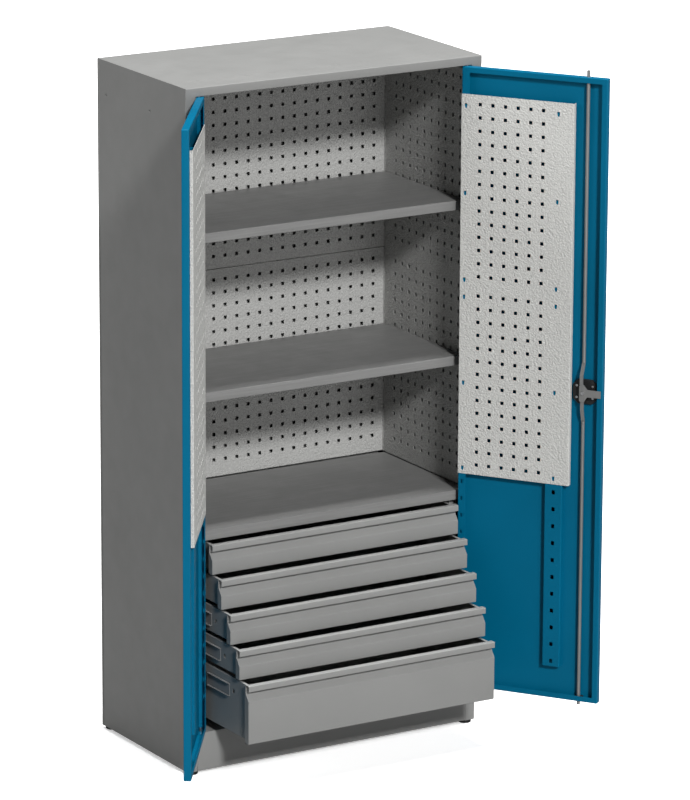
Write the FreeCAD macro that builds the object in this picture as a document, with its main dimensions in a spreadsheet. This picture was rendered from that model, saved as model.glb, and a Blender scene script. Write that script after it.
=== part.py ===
import FreeCAD, Part
import Sketcher
import math
import os
import re

# Steel workshop cabinet on levelling glides: two doors hung on pivot pins, two shelves,
# a block of five drawers on telescopic runners, and perforated linings for tool hooks.
# Frame: +X to the cabinet's right, -Y to its front, +Z up. The origin is on the floor,
# under the middle of the carcass. Both doors stand open and the drawers are pulled out.

doc = FreeCAD.newDocument("workshop_cabinet")
vec = FreeCAD.Vector
Z_AXIS = vec(0, 0, 1)

# ---------------------------------------------------------------- driving dimensions

sheet = doc.addObject("Spreadsheet::Sheet", "Dims")
DIMENSIONS = {
    # carcass
    "cab_width": 950,
    "cab_depth": 500,
    "cab_top": 1960,
    "foot_high": 10,
    "plate": 1.2,
    "post_wide": 32,
    "post_deep": 35,
    "lip_high": 25,
    "sill_top": 121,
    "flange": 24,
    "side_hole_z": 1863.8,
    # perforated linings
    "perf_pitch": 38,
    "perf_hole": 10,
    "perf_edge": 28,
    "lining_back_y": 232,
    "lining_side_x": 455,
    "lining_seam": 1315.5,
    "lining_top": 1912.5,
    "lining_low": 702,
    # shelves
    "shelf_half": 453,
    "shelf_front": -207,
    "shelf_back": 222,
    "shelf_high": 28,
    "shelf_hem": 14,
    "shelf_upper_z": 1541,
    "shelf_middle_z": 1089,
    "block_top": 699.5,
    "block_front": -226,
    # drawers
    "drawer_top": 666,
    "drawer_step": 88.3,
    "drawer_low_front": 85,
    "drawer_deep_front": 170,
    "drawer_half": 402.6,
    "drawer_lip_y": -215.4,
    "drawer_pull": 50,
    "lip_face": 16.5,
    "cove_deep": 17.7,
    "face_set": 1.5,
    "slope_down": 24,
    "kink_down": 45.5,
    "front_deep": 22,
    "box_half": 396,
    "box_deep": 385,
    "box_rim": 8,
    "drawer_plate": 1,
    # telescopic runners
    "upright_x": 408.8,
    "upright_front": -205,
    "runner_long": 380,
    "runner_half": 22.5,
    "runner_down": 42,
    "slide_set": 93,
    "middle_set": 80,
    # doors
    "pivot_x": 430,
    "pivot_y": -243.5,
    "pivot_radius": 4,
    "door_open": 125,
    "door_side": 8.5,
    "door_face": 6.5,
    "door_wide": 435,
    "door_deep": 21,
    "door_low": 123,
    "door_high": 1933.5,
    "door_hem": 16,
    "hinge_hem": 23,
    # rails and hook-on panels on the doors
    "rail_wide": 52,
    "rail_low": 217,
    "rail_high": 1850,
    "rail_near": 13,
    "rail_far": 291,
    "rail_pitch": 50,
    "panel_wide": 337.5,
    "panel_high": 549.8,
    "panel_fold": 14,
    "panel_low": 756.5,
    "panel_step": 550,
    # espagnolette lock
    "lock_u": 368.5,
    "lock_z": 1033,
    "rod_u": 366,
    "rod_radius": 5,
    "rod_depth": 11,
    "rod_tip": 1952,
    "rod_foot": 112,
}
for row, (name, value) in enumerate(DIMENSIONS.items(), 1):
    sheet.set(f"A{row}", name)
    sheet.set(f"B{row}", str(value))
    sheet.setAlias(f"B{row}", name)
doc.recompute()


def dim(name):
    """A driving dimension's number."""
    return float(sheet.get(name))


def in_sheet(word):
    """A cell's bare name with the sheet's name before it; any other word as it is."""
    name = word.group(0)
    return "Dims." + name if name in DIMENSIONS else name


def bound(text):
    """An expression on the sheet's cells, written with their bare names."""
    return re.sub(r"[a-z_]+", in_sheet, str(text))


def bind(item, **sizes):
    """Bind an object's properties to expressions."""
    for name, text in sizes.items():
        item.setExpression(name, bound(text))


def place(item, x="0", y="0", z="0"):
    """Bind an object's position to expressions."""
    for name, text in zip("xyz", (x, y, z)):
        item.setExpression("Placement.Base." + name, bound(text))


def box(x, y, z):
    """A block between two bound coordinates on each axis."""
    item = doc.addObject("Part::Box", "Block")
    (x0, x1), (y0, y1), (z0, z1) = x, y, z
    bind(item, Length=f"({x1}) - ({x0})", Width=f"({y1}) - ({y0})", Height=f"({z1}) - ({z0})")
    place(item, x0, y0, z0)
    return item


def mirrored_box(hand, x, y, z):
    """A block drawn for the right side, or its mirror image on the left where hand is -1."""
    if hand < 0:
        x = f"-({x[1]})", f"-({x[0]})"
    return box(x, y, z)


def rod(radius, x, y, z, along="z"):
    """A round bar between two bound coordinates of the axis along which it lies."""
    item = doc.addObject("Part::Cylinder", "Bar")
    start = {"x": x, "y": y, "z": z}
    low, high = start[along]
    start[along] = low
    if along == "y":
        item.Placement = FreeCAD.Placement(vec(), FreeCAD.Rotation(vec(1, 0, 0), -90))
    if along == "x":
        item.Placement = FreeCAD.Placement(vec(), FreeCAD.Rotation(vec(0, 1, 0), 90))
    bind(item, Radius=radius, Height=f"({high}) - ({low})")
    place(item, start["x"], start["y"], start["z"])
    return item


def fuse(pieces):
    """Pieces of one folded or welded part made one solid."""
    item = doc.addObject("Part::MultiFuse", "Fused")
    item.Shapes = pieces
    item.Refine = True
    return item


def cut(base, tools):
    """A piece with every tool taken out of it."""
    item = doc.addObject("Part::Cut", "CutOut")
    item.Base = base
    item.Tool = tools[0] if len(tools) == 1 else fuse(tools)
    item.Refine = True
    return item


def group(pieces):
    """Separate solids that share one node."""
    item = doc.addObject("Part::Compound", "Group")
    item.Links = pieces
    return item


nodes = {}


def node(name, item):
    """Give a finished sub-part its label, which names its file."""
    item.Label = name
    nodes[name] = item
    return item


def sketch_in(body, role, points):
    """A closed sketch on one of the body's origin planes, with each corner bound to the sheet."""
    plane = next(f for f in body.Origin.OriginFeatures if f.Role == role)
    sketch = body.newObject("Sketcher::SketchObject", body.Name + "Sketch")
    sketch.AttachmentSupport = [(plane, "")]
    sketch.MapMode = "FlatFace"
    count = len(points)
    turns = [2 * math.pi * i / count for i in range(count)]
    start = [vec(math.cos(a), math.sin(a), 0) for a in turns]
    for i in range(count):
        sketch.addGeometry(Part.LineSegment(start[i], start[(i + 1) % count]))
    for i in range(count):
        sketch.addConstraint(Sketcher.Constraint("Coincident", i, 2, (i + 1) % count, 1))
    for i, (point, texts) in enumerate(zip(start, points)):
        for kind, value, text in zip(("DistanceX", "DistanceY"), (point.x, point.y), texts):
            at = sketch.addConstraint(Sketcher.Constraint(kind, -1, 1, i, 1, value))
            sketch.setExpression(f"Constraints[{at}]", bound(text))
    return sketch


def padded(name, role, points, length, reverse=False):
    """A PartDesign body: a bound outline padded from an origin plane."""
    body = doc.addObject("PartDesign::Body", name + "_body")
    pad = body.newObject("PartDesign::Pad", name + "_pad")
    pad.Profile = sketch_in(body, role, points)
    pad.Reversed = reverse
    bind(pad, Length=length)
    doc.recompute()
    return body


def perforated(long_axis, long, high, thick, holes):
    """A flat sheet in the long axis and Z, with holes through it, as one extruded face."""

    along, across = (vec(1, 0, 0), vec(0, 1, 0)) if long_axis == "x" else (vec(0, 1, 0), vec(1, 0, 0))

    def outline(middle, size):
        """A closed rectangle about a middle, in the sheet's plane."""
        (cu, cz), (du, dz) = middle, size
        signs = ((-1, -1), (1, -1), (1, 1), (-1, 1), (-1, -1))
        corners = [along * (cu + su * du / 2) + Z_AXIS * (cz + sz * dz / 2) for su, sz in signs]
        return Part.makePolygon(corners)

    middle = (sum(long) / 2, sum(high) / 2)
    rim = outline(middle, (long[1] - long[0], high[1] - high[0]))
    face = Part.makeFace([rim] + [outline(at, size) for at, size in holes], "Part::FaceMakerBullseye")
    solid = face.extrude(across * (thick[1] - thick[0]))
    solid.translate(across * thick[0])
    return solid


def shaped(name, shape):
    """A sub-part whose shape comes from Part's own functions."""
    item = doc.addObject("Part::Feature", name)
    item.Shape = shape
    return item


def block(x, y, z):
    """A plain block shape between two numbers on each axis."""
    return Part.makeBox(x[1] - x[0], y[1] - y[0], z[1] - z[0], vec(x[0], y[0], z[0]))


# ---------------------------------------------------------------- carcass

SIDES = {"left": -1, "right": 1}
wall_in = "cab_width / 2 - plate"
post_in = "cab_width / 2 - post_wide"
SIDE_HOLE_RADIUS = 3
SIDE_HOLE_ROWS = ("-cab_depth / 10", "cab_depth * 2 / 5")

for side, hand in SIDES.items():
    wall = mirrored_box(
        hand, (wall_in, "cab_width / 2"), ("-cab_depth / 2", "cab_depth / 2"), ("foot_high", "cab_top")
    )
    front = "-cab_depth / 2", "-cab_depth / 2 + plate"
    post_high = "foot_high", "cab_top - lip_high"
    post = mirrored_box(hand, (post_in, wall_in), front, post_high)
    post_return = mirrored_box(
        hand, (post_in, f"{post_in} + plate"), ("-cab_depth / 2", "-cab_depth / 2 + post_deep"), post_high
    )
    rear = mirrored_box(
        hand,
        (f"{wall_in} - flange", wall_in),
        ("cab_depth / 2 - 2 * plate", "cab_depth / 2 - plate"),
        ("foot_high", "cab_top - plate"),
    )
    foot = mirrored_box(
        hand,
        (f"{wall_in} - post_deep", wall_in),
        ("-cab_depth / 2 + post_deep", "cab_depth / 2 - 2 * plate"),
        ("foot_high", "foot_high + plate"),
    )
    front_foot = mirrored_box(
        hand,
        (f"{post_in} + plate", wall_in),
        ("-cab_depth / 2 + plate", "-cab_depth / 2 + post_deep"),
        ("foot_high", "foot_high + plate"),
    )
    through = f"{hand} * cab_width / 2 - 5", f"{hand} * cab_width / 2 + 5"
    bores = [rod(SIDE_HOLE_RADIUS, through, y, "side_hole_z", along="x") for y in SIDE_HOLE_ROWS]
    folded = fuse([wall, post, post_return, rear, foot, front_foot])
    node("side_panel_" + side, cut(folded, bores))

span = "-(" + wall_in + ")", wall_in
clear_span = "-(" + post_in + ")", post_in
node("back_sheet", box(span, ("cab_depth / 2 - plate", "cab_depth / 2"), ("foot_high", "cab_top - plate")))

# the rod of the lock enters the lip above and the sill below at this place when the door is shut
keeper = "pivot_x - rod_u", "pivot_y - door_face + rod_depth"
KEEPER_RADIUS = 7
PIVOT_BORE = "pivot_radius + 0.05"


def pivot_bores(z):
    """The two pivot holes, and the lock rod's hole, through the sheet at a height."""
    bores = [rod(PIVOT_BORE, f"{hand} * pivot_x", "pivot_y", z) for hand in (-1, 1)]
    return bores + [rod(KEEPER_RADIUS, *keeper, z)]


lip_low = "cab_top - lip_high"
top_sheet = box(span, ("-cab_depth / 2", "cab_depth / 2"), ("cab_top - plate", "cab_top"))
lip = box(span, ("-cab_depth / 2", "-cab_depth / 2 + plate"), (lip_low, "cab_top - plate"))
lip_return_deep = "-cab_depth / 2 + plate", "-cab_depth / 2 + flange"
lip_return = box(clear_span, lip_return_deep, (lip_low, f"{lip_low} + plate"))
top_whole = fuse([top_sheet, lip, lip_return])
node("top_panel", cut(top_whole, pivot_bores((f"{lip_low} - 1", f"{lip_low} + 3"))))

sill = "sill_top - plate", "sill_top"
floor_strip = box(clear_span, ("-cab_depth / 2", "-cab_depth / 2 + post_deep"), sill)
floor_main = box(span, ("-cab_depth / 2 + post_deep", "cab_depth / 2 - 2 * plate"), sill)
floor_flange_y = "cab_depth / 2 - 3 * plate", "cab_depth / 2 - 2 * plate"
floor_flange = box(span, floor_flange_y, ("sill_top - flange", "sill_top - plate"))
floor_bores = pivot_bores(("sill_top - 3", "sill_top + 1"))
node("floor_panel", cut(fuse([floor_strip, floor_main, floor_flange]), floor_bores))

plinth_thick = "-cab_depth / 2", "-cab_depth / 2 + plate"
plinth_face = box(clear_span, plinth_thick, ("foot_high", "sill_top - plate"))
plinth_foot = box(
    clear_span,
    ("-cab_depth / 2 + plate", "-cab_depth / 2 + post_deep"),
    ("foot_high", "foot_high + plate"),
)
node("plinth_front", fuse([plinth_face, plinth_foot]))
rear_out = "cab_depth / 2 - 2 * plate"
rear_face = box(span, (f"{rear_out} - plate", rear_out), ("foot_high + plate", "sill_top - flange"))
rear_foot_span = f"-({wall_in} - post_deep)", f"{wall_in} - post_deep"
rear_foot = box(rear_foot_span, (f"{rear_out} - post_deep", rear_out), ("foot_high", "foot_high + plate"))
node("plinth_rear", fuse([rear_face, rear_foot]))

# levelling glides: a moulded disc on a threaded stem, nutted over the bottom flange
GLIDE_RADIUS = 19
GLIDE_CHAMFER = 2
STEM_RADIUS = 4
NUT_RADIUS = 7.5
NUT_HIGH = 6
nut_corners = [k * math.pi / 3 for k in range(6)]
nut_outline = [(f"{NUT_RADIUS * math.cos(a):.4f}", f"{NUT_RADIUS * math.sin(a):.4f}") for a in nut_corners]
glide_x = "cab_width / 2 - 22"
glide_y = "cab_depth / 2 - 19.5"
discs = []
stems = []
for x_sign in (-1, 1):
    for y_sign in (-1, 1):
        at = f"{x_sign} * ({glide_x})", f"{y_sign} * ({glide_y})"
        sole = doc.addObject("Part::Cone", "GlideSole")
        bind(sole, Radius1=GLIDE_RADIUS - GLIDE_CHAMFER, Radius2=GLIDE_RADIUS, Height=GLIDE_CHAMFER)
        place(sole, *at)
        discs.append(fuse([sole, rod(GLIDE_RADIUS, *at, (GLIDE_CHAMFER, "foot_high"))]))
        nut = padded(f"glide_nut_{x_sign}_{y_sign}", "XY_Plane", nut_outline, str(NUT_HIGH))
        place(nut, *at, "foot_high + plate")
        stem = rod(STEM_RADIUS, *at, ("foot_high + plate", "foot_high + 30"))
        stems.append(fuse([nut, stem]))
node("glides", group(discs))
node("glide_nuts", group(stems))

# pivot plates stiffen the lip and the sill where the door pins turn; a washer carries each door
PIVOT_PLATE = 3
WASHER_RADIUS = 6
plates = []
washers = []
for hand in (-1, 1):
    x = "pivot_x - 30", "pivot_x + 10"
    y = "-cab_depth / 2 + plate", "-cab_depth / 2 + flange"
    above = mirrored_box(hand, x, y, (f"{lip_low} + plate", f"{lip_low} + plate + {PIVOT_PLATE}"))
    below = mirrored_box(hand, x, y, (f"sill_top - plate - {PIVOT_PLATE}", "sill_top - plate"))
    bore = rod(PIVOT_BORE, f"{hand} * pivot_x", "pivot_y", ("sill_top - 10", f"{lip_low} + 10"))
    plates += [cut(above, [bore]), cut(below, [bore])]
    ring = rod(WASHER_RADIUS, f"{hand} * pivot_x", "pivot_y", ("sill_top", "door_low - 0.1"))
    hole = rod(PIVOT_BORE, f"{hand} * pivot_x", "pivot_y", ("sill_top - 1", "door_low + 1"))
    washers.append(cut(ring, [hole]))
node("pivot_bearings", group(plates + washers))

# ---------------------------------------------------------------- perforated linings

pitch = dim("perf_pitch")
hole_size = (dim("perf_hole"), dim("perf_hole"))
ROWS = 15
SEAM_GAP = 1
LOWER_ROW_DOWN = 31.5
seam = dim("lining_seam")
LININGS = {
    "upper": (seam + SEAM_GAP / 2, dim("lining_top"), dim("lining_top") - dim("perf_edge")),
    "lower": (dim("lining_low"), seam - SEAM_GAP / 2, seam - LOWER_ROW_DOWN),
}
LINING_FLANGE = 14.4


def grid(middle, columns, top_row, rows):
    """Square holes on the tool-hook pitch, centred on a middle, down from the top row."""
    first = middle - (columns - 1) / 2 * pitch
    across = [first + c * pitch for c in range(columns)]
    return [((u, top_row - r * pitch), hole_size) for u in across for r in range(rows)]


back_y = dim("lining_back_y")
side_x = dim("lining_side_x")
thin = dim("plate")
BACK_COLUMNS = 23
SIDE_COLUMNS = 10
SIDE_FRONT = -212
reach = side_x - 1
for level, (low, high, top_row) in LININGS.items():
    holes = grid(0, BACK_COLUMNS, top_row, ROWS)
    plane = perforated("x", (-reach, reach), (low, high), (back_y, back_y + thin), holes)
    hem_deep = back_y + thin, back_y + LINING_FLANGE
    hems = [block((-reach, reach), hem_deep, z) for z in ((low, low + thin), (high - thin, high))]
    name = "back_lining_" + level
    node(name, shaped(name, plane.multiFuse(hems).removeSplitter()))

for side, hand in SIDES.items():
    x = sorted((hand * side_x, hand * (side_x + thin)))
    holes = [hole for _, _, row in LININGS.values() for hole in grid(0, SIDE_COLUMNS, row, ROWS)]
    y = (SIDE_FRONT, back_y - 0.5)
    z = (dim("lining_low"), dim("lining_top"))
    plane = perforated("y", y, z, x, holes)
    x = sorted((hand * (side_x + thin), hand * (dim("cab_width") / 2 - thin)))
    hems = [block(x, part, z) for part in ((y[0], y[0] + thin), (y[1] - thin, y[1]))]
    name = "side_lining_" + side
    node(name, shaped(name, plane.multiFuse(hems).removeSplitter()))

# ---------------------------------------------------------------- shelves


def tray(half, front, back, top, deep):
    """A sheet folded down all round and hemmed in under its flanges."""
    outer = box((f"-({half})", half), (front, back), (f"{top} - {deep}", top))
    hollow = box(
        (f"-({half} - plate)", f"{half} - plate"),
        (f"{front} + plate", f"{back} - plate"),
        (f"{top} - {deep} + plate", f"{top} - plate"),
    )
    under = box(
        (f"-({half} - shelf_hem)", f"{half} - shelf_hem"),
        (f"{front} + shelf_hem", f"{back} - shelf_hem"),
        (f"{top} - {deep} - 1", f"{top} - {deep} + plate + 1"),
    )
    return cut(outer, [hollow, under])


node("shelf_upper", tray("shelf_half", "shelf_front", "shelf_back", "shelf_upper_z", "shelf_high"))
node("shelf_middle", tray("shelf_half", "shelf_front", "shelf_back", "shelf_middle_z", "shelf_high"))
cover = tray("shelf_half", "block_front", "shelf_back", "block_top", "shelf_high")
post_notches = [
    mirrored_box(
        hand,
        (f"{post_in} - 0.5", "shelf_half + 1"),
        ("block_front - 1", "-cab_depth / 2 + post_deep + 0.5"),
        ("block_top - shelf_high - 1", "block_top + 1"),
    )
    for hand in (-1, 1)
]
node("drawer_block_cover", cut(cover, post_notches))

# clips hook into the side linings, half a pitch from the middle column, and carry the shelves
CLIP_ROW = {"shelf_upper_z": "(lining_top - perf_edge - 10 * perf_pitch)",
            "shelf_middle_z": "(lining_seam - 31.5 - 6 * perf_pitch)"}
clips = []
for shelf, row in CLIP_ROW.items():
    under = f"{shelf} - shelf_high"
    for hand in (-1, 1):
        for column in ("-3.5 * perf_pitch", "3.5 * perf_pitch"):
            y = f"{column} - 10", f"{column} + 10"
            upright_high = f"{row} - 6", f"{under} + 14"
            upright = mirrored_box(hand, ("shelf_half + 0.2", "lining_side_x"), y, upright_high)
            reach = "shelf_half - 12", "shelf_half + 0.2"
            ledge = mirrored_box(hand, reach, y, (f"{under} - 1.6", under))
            hook_y = f"{column} - 4", f"{column} + 4"
            hook_x = "lining_side_x", "lining_side_x + 4"
            hook = mirrored_box(hand, hook_x, hook_y, (f"{row} - 4", f"{row} + 4"))
            clips.append(fuse([upright, ledge, hook]))
node("shelf_clips", group(clips))

# ---------------------------------------------------------------- drawer block

rails = []
upright_back = "shelf_back - shelf_hem - 2"
upright_high = "sill_top", "block_top - plate"
upright_ends = ("upright_front", "upright_front + plate"), (f"{upright_back} - plate", upright_back)
for side, hand in SIDES.items():
    web_wide = "upright_x", "upright_x + plate"
    web = mirrored_box(hand, web_wide, ("upright_front", upright_back), upright_high)
    flange_wide = "upright_x + plate", "upright_x + flange"
    ends = [mirrored_box(hand, flange_wide, y, upright_high) for y in upright_ends]
    node("drawer_upright_" + side, fuse([web] + ends))

DRAWERS = range(1, 6)


def channel(hand, web, reach, half, y, middle):
    """A runner member: a web standing between two lips that reach towards the drawer or away."""
    z = f"{middle} - {half}", f"{middle} + {half}"
    lips = [
        mirrored_box(hand, reach, y, (f"{middle} + {half} - 1", z[1])),
        mirrored_box(hand, reach, y, (z[0], f"{middle} - {half} + 1")),
    ]
    return fuse([mirrored_box(hand, web, y, z)] + lips)


LATCH_FROM_FRONT = 69
LATCH_WIDE = 9
LATCH_LOW = -5
LATCH_HIGH = 7
for n in DRAWERS:
    lip_top = f"(drawer_top - {n - 1} * drawer_step)"
    middle = f"({lip_top} - runner_down)"
    shift = f"({n} * drawer_pull)"
    front_high = "drawer_deep_front" if n == DRAWERS[-1] else "drawer_low_front"
    lip_y = f"(drawer_lip_y - {shift})"
    box_y = f"({lip_y} + front_deep)"
    runner_y = f"({box_y} + 2)"

    # box: folded sheet, rims turned in along both sides, and a latch slot through each side
    top = f"({lip_top} - 3)"
    low = f"({lip_top} - {front_high} + 8)"
    y = box_y, f"{box_y} + box_deep"
    outer = box(("-box_half", "box_half"), y, (low, top))
    hollow = box(
        ("-(box_half - drawer_plate)", "box_half - drawer_plate"),
        (f"{y[0]} + drawer_plate", f"{y[1]} - drawer_plate"),
        (f"{low} + drawer_plate", f"{top} + 1"),
    )
    slot_y = f"{box_y} + {LATCH_FROM_FRONT}", f"{box_y} + {LATCH_FROM_FRONT + LATCH_WIDE}"
    slot_z = f"{middle} + {LATCH_LOW}", f"{middle} + {LATCH_HIGH}"
    slots = [mirrored_box(hand, ("box_half - 3", "box_half + 3"), slot_y, slot_z) for hand in (-1, 1)]
    rim_x = "box_half - box_rim", "box_half - drawer_plate"
    rims = [mirrored_box(hand, rim_x, y, (f"{top} - drawer_plate", top)) for hand in (-1, 1)]
    node(f"drawer_{n}_box", fuse([cut(outer, [hollow] + slots)] + rims))

    # front: one folded sheet whose top is bent over into a grip lip, with a plate at each end
    face_high = dim(front_high)
    top_z = dim("drawer_top") - (n - 1) * dim("drawer_step")
    y0 = dim("drawer_lip_y") - n * dim("drawer_pull")
    half = dim("drawer_half")
    back = y0 + dim("front_deep")
    cove = y0 + dim("cove_deep")
    face_y = y0 + dim("face_set")
    low = top_z - face_high
    skin = dim("plate")
    under = top_z - skin
    wall = [(back, low), (face_y, low), (face_y, top_z - dim("kink_down")),
            (cove, top_z - dim("slope_down")), (cove, under)]
    lip = [(y0 + skin, under), (y0 + skin, top_z - dim("lip_face"))]
    path = Part.makePolygon([vec(-half, y, z) for y, z in wall + lip])
    inner = path.makeOffset2D(skin, 2, False, True)
    ends = [(wire.OrderedVertexes[0].Point, wire.OrderedVertexes[-1].Point) for wire in (path, inner)]
    joins = [Part.makeLine(outside, inside) for outside, inside in zip(*ends)]
    sheet_face = Part.Face(Part.Wire(Part.sortEdges(path.Edges + inner.Edges + joins)[0]))
    solid = sheet_face.extrude(vec(2 * half, 0, 0))
    plate_edge = wall + [(back, under), (back, low)]
    plates = []
    for start in (-half, half - skin):
        outline = Part.makePolygon([vec(start, y, z) for y, z in plate_edge])
        plates.append(Part.Face(outline).extrude(vec(skin, 0, 0)))
    solid = solid.multiFuse(plates).removeSplitter()
    node(f"drawer_{n}_front", shaped(f"drawer_{n}_front", solid))

    back_end = f"{runner_y} + runner_long"
    out = f"{runner_y} + slide_set", back_end
    half_way = f"{runner_y} + {shift} / 2 + middle_set", f"{back_end} + {shift} / 2"
    fixed = f"{runner_y} + {shift}", f"{back_end} + {shift}"
    slides = []
    mids = []
    for hand in (-1, 1):
        web, reach = ("box_half", "box_half + 1"), ("box_half", "box_half + 6.5")
        slides.append(channel(hand, web, reach, "(runner_half - 4)", out, middle))
        web, reach = ("box_half + 8", "box_half + 9"), ("box_half + 3", "box_half + 9")
        mids.append(channel(hand, web, reach, "(runner_half - 2)", half_way, middle))
        web, reach = ("upright_x - 1", "upright_x"), ("box_half + 5", "upright_x")
        rails.append(channel(hand, web, reach, "runner_half", fixed, middle))
    node(f"drawer_{n}_slides", group(slides))
    node(f"runner_{n}_middles", group(mids))
node("runner_rails", group(rails))

# ---------------------------------------------------------------- doors
# Each door is drawn about its own pivot axis: u runs from the pivot to the free edge, v from
# the outer face inwards, z up. Then it is turned open about the pivot.


def door_box(hand, u, v, z):
    """A block in a door's own frame; the right door's u points to -X while it is shut."""
    if hand > 0:
        u = f"-({u[1]})", f"-({u[0]})"
    return box(u, tuple(f"({text}) - door_face" for text in v), z)


def door_rod(hand, radius, u, v, z, along="z"):
    """A round bar in a door's own frame."""
    x = f"-({u})" if hand > 0 else u
    y = tuple(f"({t}) - door_face" for t in v) if along == "y" else f"({v}) - door_face"
    return rod(radius, x, y, z, along=along)


def hang(hand, item):
    """Put a door piece on its pivot and turn it open; a plain block or bar goes in a group first."""
    if item.TypeId in ("Part::Box", "Part::Cylinder", "PartDesign::Body"):
        item = group([item])
    item.Placement = FreeCAD.Placement(vec(), FreeCAD.Rotation(Z_AXIS, 1))
    item.setExpression("Placement.Rotation.Angle", bound(f"{hand} * door_open") + " * 1 deg")
    place(item, f"{hand} * pivot_x", "pivot_y", "0")
    return item


HOOK_HOLES = 33
HOOK_START = 15.4
RAIL_SPAN = ("rail_low", "rail_high")


def hook_holes(hand, middle):
    """The row of hook holes up a door, through the hem or the rail about a middle."""
    across = f"{middle} - 5", f"{middle} + 5"
    through = "door_deep - 3 * plate", "door_deep + 1"
    rows = [f"(rail_low + {HOOK_START} + {k} * rail_pitch)" for k in range(HOOK_HOLES)]
    return [door_box(hand, across, through, (f"{row} - 6", f"{row} + 6")) for row in rows]


DOOR_COLUMNS = 6
DOOR_ROWS = 14
FIRST_COLUMN = 56
FIRST_ROW = 27
HOOK_SLOTS = 3
HOOK_STEP = 5
SLOT_SIZE = (8, 14)
SLOT_UNDER_ROW = 7
PANEL_START = 0
ROD_CLEAR = 0.6
free = "door_wide - door_side"
rim = dim("door_side")
deep = dim("door_deep")
for side, hand in SIDES.items():
    door = "door_" + side
    u = "-door_side", free
    z = "door_low", "door_high"
    outer = door_box(hand, u, ("0", "door_deep"), z)
    hollow = door_box(
        hand,
        ("-door_side + plate", f"{free} - plate"),
        ("plate", "door_deep - plate"),
        ("door_low + plate", "door_high - plate"),
    )
    mouth = door_box(
        hand,
        ("-door_side + hinge_hem", f"{free} - door_hem"),
        ("door_deep - plate - 1", "door_deep + 1"),
        ("door_low + door_hem", "door_high - door_hem"),
    )
    pin_bore = door_rod(hand, "pivot_radius", "0", "door_face", ("door_low - 1", "door_high + 1"))
    openings = [hollow, mouth, pin_bore] + hook_holes(hand, "(rail_near - door_side)")
    if hand > 0:
        rod_bore = f"rod_radius + {ROD_CLEAR}"
        openings.append(door_rod(hand, rod_bore, "rod_u", "rod_depth", ("door_low - 1", "door_high + 1")))
        openings.append(door_rod(hand, 8, "lock_u", ("-1", "3"), "lock_z", along="y"))
    node(door + "_skin", hang(hand, cut(outer, openings)))

    pins = [
        door_rod(hand, "pivot_radius", "0", "door_face", z)
        for z in (("door_high - 12", f"{lip_low} + plate + {PIVOT_PLATE} + 2"),
                  (f"sill_top - plate - {PIVOT_PLATE} - 2", "door_low + 12"))
    ]
    node(door + "_pins", hang(hand, group(pins)))

    # hook rail: a hat section welded inside the pan, pierced like the hinge-side hem
    middle = "(rail_far - door_side)"
    inside = "door_deep - plate"
    rail_u = f"{middle} - rail_wide / 2", f"{middle} + rail_wide / 2"
    crown = door_box(hand, rail_u, (f"{inside} - plate", inside), RAIL_SPAN)
    webs = [
        door_box(hand, web_u, ("plate", f"{inside} - plate"), RAIL_SPAN)
        for web_u in ((rail_u[0], rail_u[0] + " + plate"), (rail_u[1] + " - plate", rail_u[1]))
    ]
    node(door + "_rail", hang(hand, cut(fuse([crown] + webs), hook_holes(hand, middle))))

    # hook-on panels lie flush on the hinge-side hem, one above the other; the far edge is folded in
    for level, step in (("lower", 0), ("upper", 1)):
        low = dim("panel_low") + step * dim("panel_step")
        high = low + dim("panel_high")
        start = PANEL_START - rim
        u = (start, start + dim("panel_wide"))
        columns = [FIRST_COLUMN - rim + c * pitch for c in range(DOOR_COLUMNS)]
        rows = [high - FIRST_ROW - r * pitch for r in range(DOOR_ROWS)]
        holes = [((c, r), hole_size) for c in columns for r in rows]
        first_slot = high - FIRST_ROW - SLOT_UNDER_ROW
        slot_rows = [first_slot - k * HOOK_STEP * dim("rail_pitch") for k in range(HOOK_SLOTS)]
        slot_columns = [dim("rail_near") - rim, dim("rail_far") - rim]
        holes += [((c, r), SLOT_SIZE) for c in slot_columns for r in slot_rows]
        holes = [((-hand * c, r), size) for (c, r), size in holes]
        x = sorted((-hand * u[0], -hand * u[1]))
        lies_on = deep - dim("door_face")
        face = perforated("x", x, (low, high), (lies_on, lies_on + thin), holes)
        hem_y = lies_on - dim("panel_fold"), lies_on
        end = sorted(-hand * (u[1] - offset) for offset in (0, thin))
        folded = block(end, hem_y, (low, high))
        name = f"{door}_panel_{level}"
        node(name, hang(hand, shaped(name, face.fuse(folded).removeSplitter())))

# ---------------------------------------------------------------- lock of the right door
# Seen in the closed door's frame: x is -u, y is v less the face set-back.

lock_x = "-(lock_u)"
HOUSING_HALF = 36
HOUSING_CUT = 15
HOUSING_DEEP = 8
corner = HOUSING_HALF - HOUSING_CUT
octagon = [
    (HOUSING_HALF, corner), (corner, HOUSING_HALF), (-corner, HOUSING_HALF), (-HOUSING_HALF, corner),
    (-HOUSING_HALF, -corner), (-corner, -HOUSING_HALF), (corner, -HOUSING_HALF), (HOUSING_HALF, -corner),
]


def lock_pad(name, outline, v_low, thick):
    """A plate across the door's depth: an outline in u and z about the spindle, padded inwards."""
    points = [(f"-({u})", str(z)) for u, z in outline]
    body = padded(name, "XZ_Plane", points, thick, reverse=True)
    place(body, lock_x, f"{v_low} - door_face", "lock_z")
    return body


def spindle_bar(radius, v_low, v_high):
    """A round bar on the lock's axis."""
    return door_rod(1, radius, "lock_u", (v_low, v_high), "lock_z", along="y")


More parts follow.
